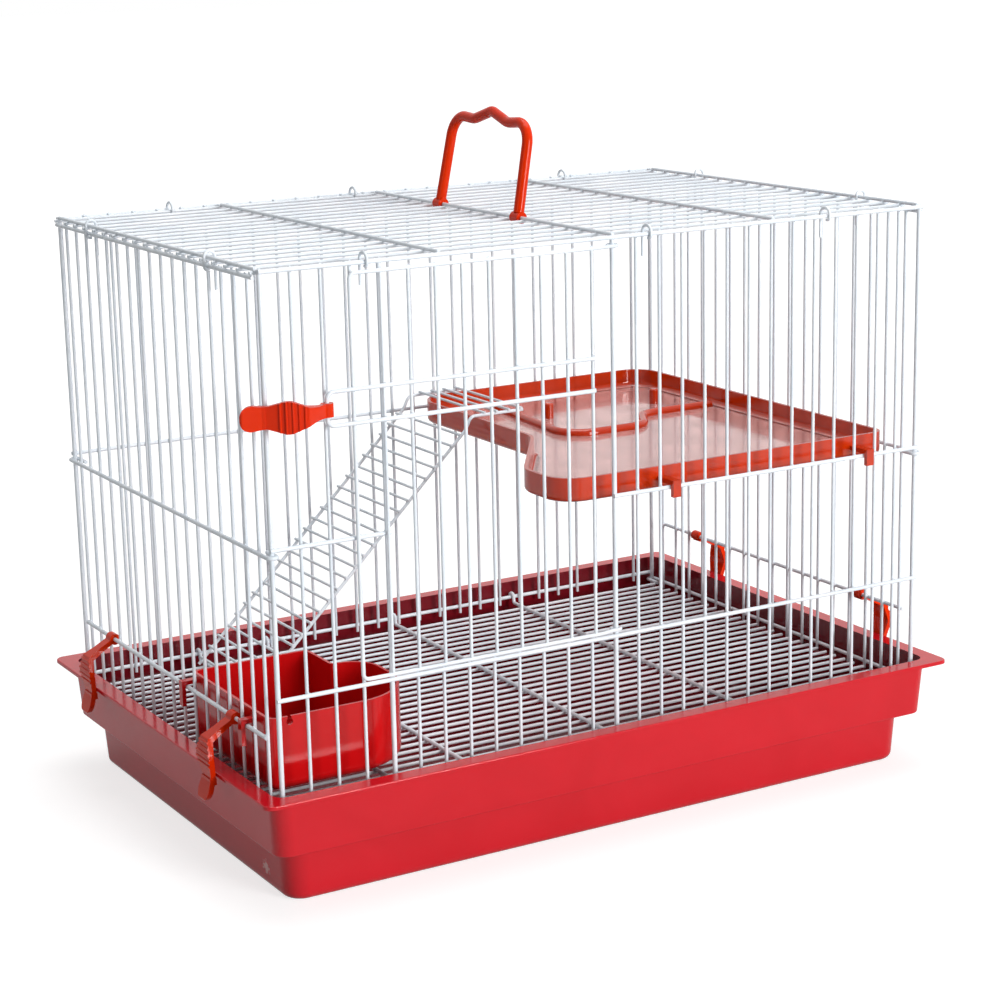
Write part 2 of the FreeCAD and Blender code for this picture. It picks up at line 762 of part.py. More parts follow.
def make_upper_shelf():
    shell = prism(shelf_outline(shelf_base_z), shelf_height)
    shell = shell.makeFillet(shelf_edge_radius, edges_at(shell, shelf_base_z))
    floor_z_here = shelf_base_z + shelf_floor
    inner = Part.Face(shelf_outline(floor_z_here)).makeOffset2D(-shelf_wall)
    hollow = inner.extrude(Vector(0, 0, shelf_height))
    shell = shell.cut(hollow.makeFillet(shelf_cove_radius, edges_at(hollow, floor_z_here)))
    pieces = [shell]
    rib_path = [
        (shelf_rib_left + shelf_rib_lean, shelf_rib_far_y),
        (shelf_rib_left, shelf_rib_near_y),
        (shelf_rib_step_left, shelf_rib_near_y),
        (shelf_rib_step_right, shelf_rib_step_y),
        (shelf_rib_end, shelf_rib_step_y),
    ]
    rib_z = floor_z_here + shelf_rib_lift
    rib_points = [Vector(shelf_left_x + x, y, rib_z) for x, y in rib_path]
    rib = bent_rod(rib_points, [shelf_rib_bend] * len(rib_points), 2 * shelf_rib_radius)
    keep_low = Vector(shelf_left_x, -shelf_half_y, shelf_base_z + shelf_floor / 2)
    pieces.append(rib.common(box_between(keep_low, Vector(shelf_right_x, shelf_half_y, shelf_top_z))))
    for i in range(2):
        peg_x = shelf_left_x + shelf_peg_left + i * shelf_peg_spacing
        peg_place = Vector(peg_x, shelf_peg_back, shelf_base_z)
        peg = Part.makeCylinder(shelf_peg_diameter / 2, shelf_floor + shelf_peg_height, peg_place)
        pieces.append(peg.makeFillet(shelf_peg_edge_radius, edges_at(peg, peg.BoundBox.ZMax)))
    rail_reach = end_rail_y - shelf_half_y + rail_diameter / 2 + seat_gap
    hook_sizes = (shelf_wall, rail_reach, shelf_hook_tail, shelf_hook_width, shelf_hook_thickness)
    front_places = [shelf_left_x + shelf_hook_left_inset, shelf_right_x - shelf_hook_right_inset]
    back_places = [
        shelf_left_x + shelf_back_corner_radius + back_pitch / 2,
        shelf_right_x - shelf_corner_radius - back_pitch / 2,
    ]
    places = [(-90, -1, gap_middle(x, hinge_x, right_bay_pitch)) for x in front_places]
    places += [(90, 1, gap_middle(x, corner_x, back_pitch)) for x in back_places]
    for turn, side, x in places:
        hook = hanging_hook(*hook_sizes)
        hook.rotate(Vector(0, 0, 0), Vector(0, 0, 1), turn)
        hook.translate(Vector(x, side * shelf_half_y, shelf_hook_z))
        pieces.append(hook)
    return weld(pieces)


def make_ladder():
    """Two bent rails with rungs welded across their upper side."""
    radius = ladder_rail_diameter / 2
    low_step = Vector(ladder_step_x - ladder_step_run, 0, ladder_top_z - ladder_step_rise)
    foot_x = ladder_step_x - ladder_run
    foot_rest_z = floor_z + bar_diameter / 2 + ladder_foot_gap + radius * math.sqrt(2)
    foot = Vector(foot_x, 0, foot_rest_z)
    step = Vector(ladder_step_x, 0, ladder_top_z)
    end = Vector(ladder_step_x + ladder_top_length, 0, ladder_top_z)
    pieces = []
    for y in (ladder_front_y, ladder_back_y):
        across = Vector(0, y, 0)
        points = [foot + across, low_step + across, step + across, end + across]
        pieces.append(bent_rod(points, [0, ladder_bend_radius, ladder_bend_radius, 0], ladder_rail_diameter))
    run = (low_step - foot).normalize()
    lift = (ladder_rail_diameter + rung_diameter) / 2 - weld_sink
    normal = Vector(-run.z, 0, run.x) * lift
    slope = low_step - foot
    places = [foot + slope * ((i + middle_share) / ladder_rungs) + normal for i in range(ladder_rungs)]
    for i in range(ladder_top_rungs):
        share = (i + 1) / ladder_top_rungs
        back_off = Vector(rung_diameter, 0, 0)
        places.append(step + (end - back_off - step) * share + Vector(0, 0, lift))
    for place in places:
        start = place + Vector(0, ladder_front_y - ladder_rung_reach, 0)
        end_point = place + Vector(0, ladder_back_y + ladder_rung_reach, 0)
        pieces.append(rod(start, end_point, rung_diameter))
    return weld(pieces)


def feeder_outline(z):
    right_x = feeder_left_x + feeder_length
    lobe_x = right_x + feeder_lobe
    lobe_y = feeder_front_y + feeder_lobe_depth
    corners = [
        (feeder_left_x, feeder_front_y, feeder_corner_radius),
        (lobe_x, feeder_front_y, feeder_front_lobe_radius),
        (lobe_x, lobe_y, feeder_lobe_radius),
        (right_x, lobe_y, feeder_wall),
        (right_x, feeder_front_y + feeder_depth, feeder_corner_radius),
        (feeder_left_x, feeder_front_y + feeder_depth, feeder_corner_radius),
    ]
    return outline(corners, z)


def make_feeder():
    shell = prism(feeder_outline(feeder_base_z), feeder_height)
    shell = shell.makeFillet(feeder_edge_radius, edges_at(shell, feeder_base_z))
    floor_z_here = feeder_base_z + feeder_wall
    inner = Part.Face(feeder_outline(floor_z_here)).makeOffset2D(-feeder_wall)
    hollow = inner.extrude(Vector(0, 0, feeder_height))
    hollow = hollow.makeFillet(feeder_edge_radius - feeder_wall, edges_at(hollow, floor_z_here))
    pieces = [shell.cut(hollow)]
    hook_z = side_low_z + rail_diameter / 2 + seat_gap
    rail_reach = side_rail_x + feeder_left_x + rail_diameter / 2 + seat_gap
    hook_sizes = (feeder_wall, rail_reach, feeder_hook_tail, feeder_hook_width, feeder_hook_thickness)
    back_y = feeder_front_y + feeder_depth
    for y in (feeder_front_y + feeder_hook_inset, back_y - side_bar_pitch / 2):
        hook = hanging_hook(*hook_sizes)
        hook.rotate(Vector(0, 0, 0), Vector(0, 0, 1), 180)
        hook.translate(Vector(feeder_left_x, gap_middle(y, 0, side_bar_pitch), hook_z))
        pieces.append(hook)
    notch_x = feeder_left_x + feeder_notch_inset
    notch_z = feeder_top_z - feeder_notch_depth
    slot = box_between(
        Vector(notch_x - feeder_notch_width / 2, feeder_front_y - overrun, notch_z),
        Vector(notch_x + feeder_notch_width / 2, feeder_front_y + overrun, feeder_top_z + overrun),
    )
    hole_start = Vector(notch_x, feeder_front_y - overrun, notch_z)
    hole = Part.makeCylinder(feeder_notch_bore / 2, 2 * overrun, hole_start, Vector(0, 1, 0))
    return weld(pieces).cut([slot, hole])


os.makedirs("parts", exist_ok=True)
save("tray", make_tray())
save("floor_grid", make_floor_grid())
save("front_panel", make_front_panel())
save("back_panel", make_back_panel())
right_panel = make_right_panel()
save("right_panel", right_panel)
save("left_panel", right_panel.mirror(Vector(0, 0, 0), Vector(1, 0, 0)))
save("roof_panel", make_roof_panel())

front_hook_places = [door_post_x + left_bay_hook_share * left_bay_width / left_bay_gaps]
front_hook_places += [hinge_x + share * right_bay_pitch for share in right_bay_hook_shares]
back_hook_places = [share * back_pitch for share in back_hook_shares]
side_hook_places = [share * roof_pitch for share in side_hook_shares]
save("front_roof_hooks", end_roof_hooks(front_hook_places, -1))
save("back_roof_hooks", end_roof_hooks(back_hook_places, 1))
save("left_roof_hooks", side_roof_hooks(side_hook_places, -1))
save("right_roof_hooks", side_roof_hooks(side_hook_places, 1))

save("front_door", make_front_door())
clip = make_clip()
save("door_latch", door_latch(clip))
save("clip_left_front", tray_clip(clip, -1, -clip_y))
save("clip_left_back", tray_clip(clip, -1, clip_y))
save("clip_right_front", tray_clip(clip, 1, -clip_y))
save("clip_right_back", tray_clip(clip, 1, clip_y))
save("carry_handle", make_carry_handle())
save("upper_shelf", make_upper_shelf())
save("ladder", make_ladder())
save("feeder", make_feeder())
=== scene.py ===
# %% [markdown]
# # A two-level pet cage
# The cage is a moulded tray with welded wire walls, and a few moulded pieces that clip onto the wires.
# Its solids come from CAD with their joints, so this lesson does what CAD leaves open: finishes, the
# small traces that making leaves on the pieces, light and a camera.

# %% Load the CAD frame
import math

import bmesh
import bpy
from mathutils import Matrix, Vector


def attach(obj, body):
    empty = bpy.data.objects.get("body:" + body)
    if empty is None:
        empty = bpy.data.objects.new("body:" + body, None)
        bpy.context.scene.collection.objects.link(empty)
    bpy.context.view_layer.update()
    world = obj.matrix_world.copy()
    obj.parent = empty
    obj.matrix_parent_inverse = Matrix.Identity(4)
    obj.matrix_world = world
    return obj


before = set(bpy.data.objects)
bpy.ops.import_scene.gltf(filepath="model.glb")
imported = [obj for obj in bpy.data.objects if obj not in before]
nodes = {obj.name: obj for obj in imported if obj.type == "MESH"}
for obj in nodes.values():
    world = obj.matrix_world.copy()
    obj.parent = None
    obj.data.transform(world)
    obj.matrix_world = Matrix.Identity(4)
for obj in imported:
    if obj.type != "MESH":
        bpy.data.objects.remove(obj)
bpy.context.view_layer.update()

# %% [markdown]
# A colour picked from a screen is an sRGB value, and Blender's shaders work with linear light, so one
# function turns hex codes to linear numbers. A second one adds a node with its settings and links. That
# keeps each finish below readable as a list of layers instead of a wall of node calls.

# %% Helpers for colours and nodes
MM = 0.001
# Most values of a noise texture lie between these two.
NOISE_LOW, NOISE_HIGH = 0.3, 0.7
# A Mix node's sockets go by number, because those for colours and those for values share their names.
MIX_SHARE = 0
COLOUR_A, COLOUR_B, COLOUR_OUT = 6, 7, 2
VALUE_A, VALUE_B, VALUE_OUT = 2, 3, 0


def linear(code):
    """Linear RGBA of an sRGB hex code."""
    shares = [int(code[i:i + 2], 16) / 255 for i in (1, 3, 5)]
    return [s / 12.92 if s <= 0.04045 else ((s + 0.055) / 1.055) ** 2.4 for s in shares] + [1.0]


def add_node(tree, kind, inputs=None, **settings):
    """Adds a node. Each input is a value, or the output socket of another node."""
    node = tree.nodes.new(kind)
    for name, value in settings.items():
        setattr(node, name, value)
    for socket, value in (inputs or {}).items():
        if isinstance(value, bpy.types.NodeSocket):
            tree.links.new(value, node.inputs[socket])
        else:
            node.inputs[socket].default_value = value
    return node


def new_finish(name):
    """A material and its node tree, which is still empty."""
    finish = bpy.data.materials.new(name)
    finish.use_nodes = True
    finish.node_tree.nodes.clear()
    return finish, finish.node_tree


def ramp_stops(node, stops):
    """Sets a colour ramp's stops from (place, hex code) pairs."""
    elements = node.color_ramp.elements
    while len(elements) < len(stops):
        elements.new(1.0)
    for element, (place, code) in zip(elements, stops):
        element.position = place
        element.color = linear(code)


def per_size(size_mm):
    """Texture scale at which a pattern on Object coordinates has features of that size."""
    return 1 / (size_mm * MM)


print("helpers ready")

# %% [markdown]
# The wires are steel, welded and then powder coated: white polyester powder is baked until it flows into
# a film. It never flows quite flat, so the film has a soft orange peel, and it pools a little unevenly, so
# gloss and whiteness drift along a wire. A noise of a millimetre or two gives the peel as bump, and one of
# some centimetres gives the drift.

# %% Powder-coated steel wire
PEEL_MM = 1.6
PEEL_DEPTH = 0.2 * MM
COAT_DRIFT_MM = 38
COAT_DIM, COAT_BRIGHT = "#DCE5ED", "#EDF2F7"
COAT_SMOOTH, COAT_ROUGH = 0.22, 0.34
COAT_IOR = 1.5


def powder_coat():
    # A baked white film: half-matt, a touch cool, with soft highlights along each wire.
    finish, tree = new_finish("powder_coated_steel_wire")
    place = add_node(tree, "ShaderNodeTexCoord").outputs["Object"]
    peel = add_node(tree, "ShaderNodeTexNoise", {
        "Vector": place, "Scale": per_size(PEEL_MM), "Detail": 2.0})
    drift = add_node(tree, "ShaderNodeTexNoise", {
        "Vector": place, "Scale": per_size(COAT_DRIFT_MM), "Detail": 4.0})
    tint = add_node(tree, "ShaderNodeValToRGB", {"Fac": drift.outputs["Fac"]})
    ramp_stops(tint, [(NOISE_LOW, COAT_DIM), (NOISE_HIGH, COAT_BRIGHT)])
    rough = add_node(tree, "ShaderNodeMapRange", {
        "Value": drift.outputs["Fac"], "From Min": NOISE_LOW, "From Max": NOISE_HIGH,
        "To Min": COAT_SMOOTH, "To Max": COAT_ROUGH})
    bump = add_node(tree, "ShaderNodeBump", {
        "Height": peel.outputs["Fac"], "Strength": 0.12, "Distance": PEEL_DEPTH})
    coat = add_node(tree, "ShaderNodeBsdfPrincipled", {
        "Base Color": tint.outputs["Color"], "Roughness": rough.outputs["Result"], "IOR": COAT_IOR,
        "Normal": bump.outputs["Normal"]})
    add_node(tree, "ShaderNodeOutputMaterial", {"Surface": coat.outputs["BSDF"]})
    return finish


white_coat = powder_coat()
print("made", white_coat.name)

# %% [markdown]
# Use leaves its traces on the tray. The edge that is pushed over tables, and one side that took a knock, get
# pale rub marks: a noise breaks them up into spots. The inside is painted darker, as painted shade for the
# shade that falls between the tray's walls. It is found by which way a surface faces, so the painted shade
# stays with the tray from any side.

# %% Rub marks and painted inside shade of the tray
RUB_MM = 4
RUB_TOP = 5 * MM
RUB_TINT = "#E8BDB8"
RUB_FROM, RUB_FULL, RUB_MOST = 0.42, 0.5, 0.75
KNOCK = Vector((-228.0, -118.0, 12.5)) * MM
KNOCK_REACH = 14 * MM
KNOCK_FORCE = 1.2
# Painted shade: the inner walls, and the floor below this height, are painted in this darker red.
INSIDE_SHADE_TOP = 60 * MM
INSIDE_PAINTED_SHADE = "#74101C"
# An inner wall faces the tray's middle from at least this far, and a floor faces up at least this much.
WALL_LEAST = 50 * MM
FLOOR_LEAST = 0.5


def painted_shade_inside(tree, place, height):
    """Painted-shade mask: 1 on the tray's floor and on walls that face its middle, and 0 elsewhere."""
    facing = add_node(tree, "ShaderNodeTexCoord").outputs["Normal"]
    from_middle = add_node(tree, "ShaderNodeVectorMath", {0: place, 1: (1, 1, 0)}, operation="MULTIPLY")
    outward = add_node(tree, "ShaderNodeVectorMath", {
        0: from_middle.outputs["Vector"], 1: facing}, operation="DOT_PRODUCT")
    wall = add_node(tree, "ShaderNodeMath", {
        0: outward.outputs["Value"], 1: -WALL_LEAST}, operation="LESS_THAN")
    upward = add_node(tree, "ShaderNodeSeparateXYZ", {"Vector": facing}).outputs["Z"]
    level = add_node(tree, "ShaderNodeMath", {0: upward, 1: FLOOR_LEAST}, operation="GREATER_THAN")
    low = add_node(tree, "ShaderNodeMath", {0: height, 1: INSIDE_SHADE_TOP}, operation="LESS_THAN")
    ground = add_node(tree, "ShaderNodeMath", {
        0: level.outputs["Value"], 1: low.outputs["Value"]}, operation="MULTIPLY")
    return add_node(tree, "ShaderNodeMath", {
        0: wall.outputs["Value"], 1: ground.outputs["Value"]}, operation="MAXIMUM").outputs["Value"]


def rub_marks(tree, place, height):
    """Socket with the share of pale rub marks, which fade with height and away from the knock."""
    low = add_node(tree, "ShaderNodeMapRange", {
        "Value": height, "From Min": 0.0, "From Max": RUB_TOP, "To Min": 1.0, "To Max": 0.0})
    away = add_node(tree, "ShaderNodeVectorMath", {0: place, 1: KNOCK}, operation="DISTANCE")
    knocked = add_node(tree, "ShaderNodeMapRange", {
        "Value": away.outputs["Value"], "From Min": 0.0, "From Max": KNOCK_REACH,
        "To Min": KNOCK_FORCE, "To Max": 0.0})
    worn = add_node(tree, "ShaderNodeMath", {
        0: low.outputs["Result"], 1: knocked.outputs["Result"]}, operation="MAXIMUM")
    spots = add_node(tree, "ShaderNodeTexNoise", {
        "Vector": place, "Scale": per_size(RUB_MM), "Detail": 6.0, "Roughness": 0.7})
    rub = add_node(tree, "ShaderNodeMath", {
        0: worn.outputs["Value"], 1: spots.outputs["Fac"]}, operation="MULTIPLY")
    return add_node(tree, "ShaderNodeMapRange", {
        "Value": rub.outputs["Value"], "From Min": RUB_FROM, "From Max": RUB_FULL,
        "To Min": 0.0, "To Max": RUB_MOST}).outputs["Result"]


print("tray stain and rub marks ready")

# %% [markdown]
# The tray and the feeder are injection-moulded polypropylene, the clips, the latch and the handle are ABS,
# and all are dyed through. The steel mould leaves a smooth skin whose gloss varies as the melt flowed, and
# the dye streaks very faintly. Use adds fine scuffs. All three are quiet, so they go into roughness and bump
# first and hardly into the colour.

# %% Moulded red plastics
FLOW_MM = 70
SKIN_MM = 2.2
SKIN_DEPTH = 0.15 * MM
SCUFF_MM = 3
SCUFF_SHARE = 0.2
WEAR_LOW, WEAR_HIGH = 0.4, 0.8
PLASTIC_IOR = 1.49


def moulded_plastic(name, dyes, roughness, shine, is_tray=False):
    # A dyed thermoplastic: even colour, a clear gloss that drifts with the flow, a faint moulded skin.
    finish, tree = new_finish(name)
    place = add_node(tree, "ShaderNodeTexCoord").outputs["Object"]
    flow = add_node(tree, "ShaderNodeTexNoise", {
        "Vector": place, "Scale": per_size(FLOW_MM), "Detail": 3.0, "Distortion": 0.8})
    dye = add_node(tree, "ShaderNodeValToRGB", {"Fac": flow.outputs["Fac"]})
    ramp_stops(dye, [(NOISE_LOW, dyes[0]), (NOISE_HIGH, dyes[1])])
    colour = dye.outputs["Color"]
    if is_tray:
        height = add_node(tree, "ShaderNodeSeparateXYZ", {"Vector": place}).outputs["Z"]
        # On the tray, the pale rub marks and then the painted shade of its inside are mixed into the colour.
        for wear_and_shade_mask, tint in ((rub_marks, RUB_TINT), (painted_shade_inside, INSIDE_PAINTED_SHADE)):
            colour = add_node(tree, "ShaderNodeMix", {
                MIX_SHARE: wear_and_shade_mask(tree, place, height), COLOUR_A: colour, COLOUR_B: linear(tint),
            }, data_type="RGBA").outputs[COLOUR_OUT]

    # Flow lines and scuffs both dull the gloss.
    scuffs = add_node(tree, "ShaderNodeTexNoise", {
        "Vector": place, "Scale": per_size(SCUFF_MM), "Detail": 4.0, "Roughness": 0.6})
    wear = add_node(tree, "ShaderNodeMath", {
        0: scuffs.outputs["Fac"], 1: SCUFF_SHARE, 2: flow.outputs["Fac"]}, operation="MULTIPLY_ADD")
    rough = add_node(tree, "ShaderNodeMapRange", {
        "Value": wear.outputs["Value"], "From Min": WEAR_LOW, "From Max": WEAR_HIGH,
        "To Min": roughness[0], "To Max": roughness[1]})
    skin = add_node(tree, "ShaderNodeTexNoise", {
        "Vector": place, "Scale": per_size(SKIN_MM), "Detail": 3.0})
    bump = add_node(tree, "ShaderNodeBump", {
        "Height": skin.outputs["Fac"], "Strength": 0.04, "Distance": SKIN_DEPTH})
    plastic = add_node(tree, "ShaderNodeBsdfPrincipled", {
        "Base Color": colour, "Roughness": rough.outputs["Result"], "IOR": PLASTIC_IOR,
        "Specular IOR Level": shine, "Normal": bump.outputs["Normal"]})
    add_node(tree, "ShaderNodeOutputMaterial", {"Surface": plastic.outputs["BSDF"]})
    return finish


tray_red = moulded_plastic(
    "moulded_polypropylene_tray_red", dyes=("#C6101E", "#CE1624"), roughness=(0.09, 0.19), shine=0.4,
    is_tray=True)
feeder_red = moulded_plastic(
    "moulded_polypropylene_feeder_red", dyes=("#C00C10", "#CA1214"), roughness=(0.08, 0.16), shine=0.4)
clip_red = moulded_plastic(
    "moulded_abs_orange_red", dyes=("#D42A02", "#DE3204"), roughness=(0.06, 0.13), shine=0.15)
print("made", tray_red.name, feeder_red.name, clip_red.name)

# %% [markdown]
# The shelf is moulded of clear polystyrene with a red dye. Its flat floor is thin, so light passes and it
# looks pink, while the rim, the ridge, the pegs and the hooks pipe the light along and glow in full
# orange-red. Real light piping needs a great many bounces, so the finish says it plainly: less light passes
# and the colour deepens on surfaces that stand upright, that lie above the floor, or that belong to the
# hooks past the shelf's edges.

# %% Translucent red polystyrene
SHELF_FLOOR_Z = 0.2137
SHELF_EDGE_Y = 0.1435
RAISED_FROM, RAISED_FULL = SHELF_FLOOR_Z + 0.4 * MM, SHELF_FLOOR_Z + 3 * MM
# A surface that faces up or down by less than the first is upright, by more than the second level.
UPRIGHT_BELOW, LEVEL_ABOVE = 0.55, 0.98
THIN_PINK, THICK_RED = "#D4A19C", "#D63806"
THIN_PASSES, THICK_PASSES = 0.88, 0.3
SHELF_SKIN_MM = 24
SHELF_SKIN_DEPTH = 0.3 * MM
SHELF_SMOOTH, SHELF_ROUGH = 0.06, 0.16
POLYSTYRENE_IOR = 1.59


def dyed_polystyrene():
    # Clear dyed plastic: see-through and pink where thin, glowing orange-red where it stands up.
    finish, tree = new_finish("moulded_translucent_polystyrene_red")
    coords = add_node(tree, "ShaderNodeTexCoord").outputs
    place = add_node(tree, "ShaderNodeSeparateXYZ", {"Vector": coords["Object"]}).outputs
    facing = add_node(tree, "ShaderNodeSeparateXYZ", {"Vector": coords["Normal"]}).outputs["Z"]
    level = add_node(tree, "ShaderNodeMath", {0: facing}, operation="ABSOLUTE")
    upright = add_node(tree, "ShaderNodeMapRange", {
        "Value": level.outputs["Value"], "From Min": UPRIGHT_BELOW, "From Max": LEVEL_ABOVE,
        "To Min": 1.0, "To Max": 0.0})
    raised = add_node(tree, "ShaderNodeMapRange", {
        "Value": place["Z"], "From Min": RAISED_FROM, "From Max": RAISED_FULL,
        "To Min": 0.0, "To Max": 1.0})
    across = add_node(tree, "ShaderNodeMath", {0: place["Y"]}, operation="ABSOLUTE")
    hooked = add_node(tree, "ShaderNodeMath", {
        0: across.outputs["Value"], 1: SHELF_EDGE_Y}, operation="GREATER_THAN")
    wall = add_node(tree, "ShaderNodeMath", {
        0: upright.outputs["Result"], 1: raised.outputs["Result"]}, operation="MAXIMUM")
    standing = add_node(tree, "ShaderNodeMath", {
        0: wall.outputs["Value"], 1: hooked.outputs["Value"]}, operation="MAXIMUM")
    dye = add_node(tree, "ShaderNodeValToRGB", {"Fac": standing.outputs["Value"]})
    ramp_stops(dye, [(0.0, THIN_PINK), (1.0, THICK_RED)])
    passing = add_node(tree, "ShaderNodeMapRange", {
        "Value": standing.outputs["Value"], "From Min": 0.0, "From Max": 1.0,
        "To Min": THIN_PASSES, "To Max": THICK_PASSES})
    skin = add_node(tree, "ShaderNodeTexNoise", {
        "Vector": coords["Object"], "Scale": per_size(SHELF_SKIN_MM), "Detail": 2.0})
    rough = add_node(tree, "ShaderNodeMapRange", {
        "Value": skin.outputs["Fac"], "From Min": NOISE_LOW, "From Max": NOISE_HIGH,
        "To Min": SHELF_SMOOTH, "To Max": SHELF_ROUGH})
    bump = add_node(tree, "ShaderNodeBump", {
        "Height": skin.outputs["Fac"], "Strength": 0.06, "Distance": SHELF_SKIN_DEPTH})
    plastic = add_node(tree, "ShaderNodeBsdfPrincipled", {
        "Base Color": dye.outputs["Color"], "Roughness": rough.outputs["Result"],
        "IOR": POLYSTYRENE_IOR, "Transmission Weight": passing.outputs["Result"],
        "Normal": bump.outputs["Normal"]})
    add_node(tree, "ShaderNodeOutputMaterial", {"Surface": plastic.outputs["BSDF"]})
    return finish


shelf_red = dyed_polystyrene()
print("made", shelf_red.name)

# %% [markdown]
# Each crossing of two wires is a resistance weld: current heats the touching steel, the wires sink half a
# millimetre into each other, and a little metal squeezes out round the spot. The coat rounds that to a soft
# bead. CAD gives the sunk wires, and a flattened ball of twenty faces gives each bead. One mesh holds all
# the beads of a body, so that hundreds of them stay light.

# %% Weld beads at the wire crossings
BEAD_RADIUS = 2.0
BEAD_FLATNESS = 0.55


def spread(low, high, gaps):
    """Evenly spaced places, both ends included."""
    return [low + (high - low) * i / gaps for i in range(gaps + 1)]


def weld_beads(name, body, spots, radius):
    """One piece with a bead at each spot: a point in millimetres, and the axis of the bead's flat side."""
    beads = bmesh.new()
    for point, axis in spots:
        ball = bmesh.ops.create_icosphere(beads, subdivisions=1, radius=radius * MM)["verts"]
        flat = [1.0, 1.0, 1.0]
        flat["xyz".index(axis)] = BEAD_FLATNESS
        bmesh.ops.scale(beads, vec=flat, verts=ball)
        bmesh.ops.translate(beads, vec=Vector(point) * MM, verts=ball)
    mesh = bpy.data.meshes.new(name)
    beads.to_mesh(mesh)
    beads.free()
    mesh.polygons.foreach_set("use_smooth", [True] * len(mesh.polygons))
    mesh.materials.append(white_coat)
    piece = bpy.data.objects.new(name, mesh)
    bpy.context.scene.collection.objects.link(piece)
    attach(piece, body)
    print(name, len(spots), "beads")


print("beads are", 2 * BEAD_RADIUS, "mm wide")

# %% [markdown]
# The beads of the walls, the roof and the floor grid all stay with the cage, so they are one piece. Their
# places are those of the CAD wires in millimetres: each panel is a list of bars and a list of rails, with a
# bead wherever two of them cross.

# %% Beads of the walls, the roof and the floor grid
CORNER_X, DOOR_POST_X, HINGE_X = 231.98, 158.48, 2.48
FRONT_Y, SIDE_X, ROOF_Z, GRID_Z = 155.9, 233.9, 373.45, 55.9
SIDE_REACH, ROOF_REACH, GRID_REACH = 140.8, 152.1, 142.8
SILL_RAILS = (61.0, 127.5)
FRONT_RAILS = (61.0, 127.5, 216.0, 373.4)
BACK_RAILS = (61.0, 216.0, 373.4)
SIDE_RAILS = (55.5, 102.0, 212.0, 370.0)
ROOF_CROSSES = (-233.0, -118.1, 0.0, 118.1, 233.0)
GRID_CROSSES = (-149.9, -97.8, 5.0, 106.0)
bay_bars = spread(-CORNER_X, -DOOR_POST_X, gaps=4) + spread(-HINGE_X, CORNER_X, gaps=14)
sill_bars = spread(-DOOR_POST_X, -HINGE_X, gaps=9)[1:-1]
back_bars = spread(-CORNER_X, CORNER_X, gaps=27)
side_bars = spread(-SIDE_REACH, SIDE_REACH, gaps=16)
roof_wires = spread(-ROOF_REACH, ROOF_REACH, gaps=18)
grid_wires = spread(-GRID_REACH, GRID_REACH, gaps=28)

spots = [((x, -FRONT_Y, z), "y") for x in bay_bars for z in FRONT_RAILS]
spots += [((x, -FRONT_Y, z), "y") for x in sill_bars for z in SILL_RAILS]
spots += [((x, FRONT_Y, z), "y") for x in back_bars for z in BACK_RAILS]
spots += [((x, y, z), "x") for x in (-SIDE_X, SIDE_X) for y in side_bars for z in SIDE_RAILS]
spots += [((x, y, ROOF_Z), "z") for x in ROOF_CROSSES for y in roof_wires]
spots += [((x, y, GRID_Z), "z") for x in GRID_CROSSES for y in grid_wires]
weld_beads("cage_weld_beads", "cage", spots, BEAD_RADIUS)

# %% [markdown]
# The door and the ladder move on their own, so their beads are pieces of their own that ride on those
# bodies. The ladder's rungs lie on a slope: each bead is a share of the way from its foot to its knee, lifted
# to where the rung sinks into the rail's upper side. A few more lie on the level top.

# %% Beads of the door and the ladder
DOOR_Y, BOW_Y = -159.7, -160.6
DOOR_EDGE_X, DOOR_PITCH, DOOR_BARS = -179.48, 17.5, 9
DOOR_ENDS, BOW_WIRES = (131.6, 368.4), (283.7, 303.2)
door_bars = [-HINGE_X - DOOR_PITCH * (i + 1) for i in range(DOOR_BARS)]
spots = [((x, DOOR_Y, z), "y") for x in door_bars for z in DOOR_ENDS]
spots += [((x, BOW_Y, z), "y") for x in door_bars + [DOOR_EDGE_X] for z in BOW_WIRES]
weld_beads("door_weld_beads", "front_door", spots, BEAD_RADIUS)

LADDER_FOOT, LADDER_KNEE = Vector((-156.0, 0, 57.96)), Vector((11.0, 0, 218.75))
LADDER_RUNGS, LADDER_SIDES = 24, (53.0, 143.0)
LADDER_TOP_FROM, LADDER_TOP_TO, LADDER_TOP_Z = 16.0, 55.1, 228.15
RUNG_LIFT = 0.85
RUNG_BEAD_RADIUS = 1.5
slope = (LADDER_KNEE - LADDER_FOOT).normalized()
lift = Vector((-slope.z, 0, slope.x)) * RUNG_LIFT
shares = [(i + 0.5) / LADDER_RUNGS for i in range(LADDER_RUNGS)]
rungs = [LADDER_FOOT.lerp(LADDER_KNEE, share) + lift for share in shares]
top_rungs = spread(LADDER_TOP_FROM, LADDER_TOP_TO, gaps=4)[1:]
rungs += [Vector((x, 0, LADDER_TOP_Z + RUNG_LIFT)) for x in top_rungs]
spots = [(rung + Vector((0, y, 0)), "y") for rung in rungs for y in LADDER_SIDES]
weld_beads("ladder_weld_beads", "ladder", spots, RUNG_BEAD_RADIUS)

# %% [markdown]
# The record names a material slot for each piece. The finishes go onto the CAD pieces by that slot, so every
# wire panel gets the same coat and each moulded piece its own plastic.

# %% Finishes on the CAD pieces
FINISH_OF_SLOT = {
    "white_wire": white_coat,
    "tray_plastic": tray_red,
    "clip_plastic": clip_red,
    "feeder_plastic": feeder_red,
    "shelf_plastic": shelf_red,
}
for piece in nodes.values():
    for slot in piece.material_slots:
        slot.material = FINISH_OF_SLOT[slot.material.name.split(".")[0]]
print("finished", len(nodes), "pieces")

# %% [markdown]
# The cage stands in a plain white studio. The floor is a wide sheet that shows itself white to the camera
# and through clear plastic, a little less so close to the cage, and much less in reflections, which keeps
# the reds deep. Other light on it acts as usual, so it keeps the soft shadow under the tray.

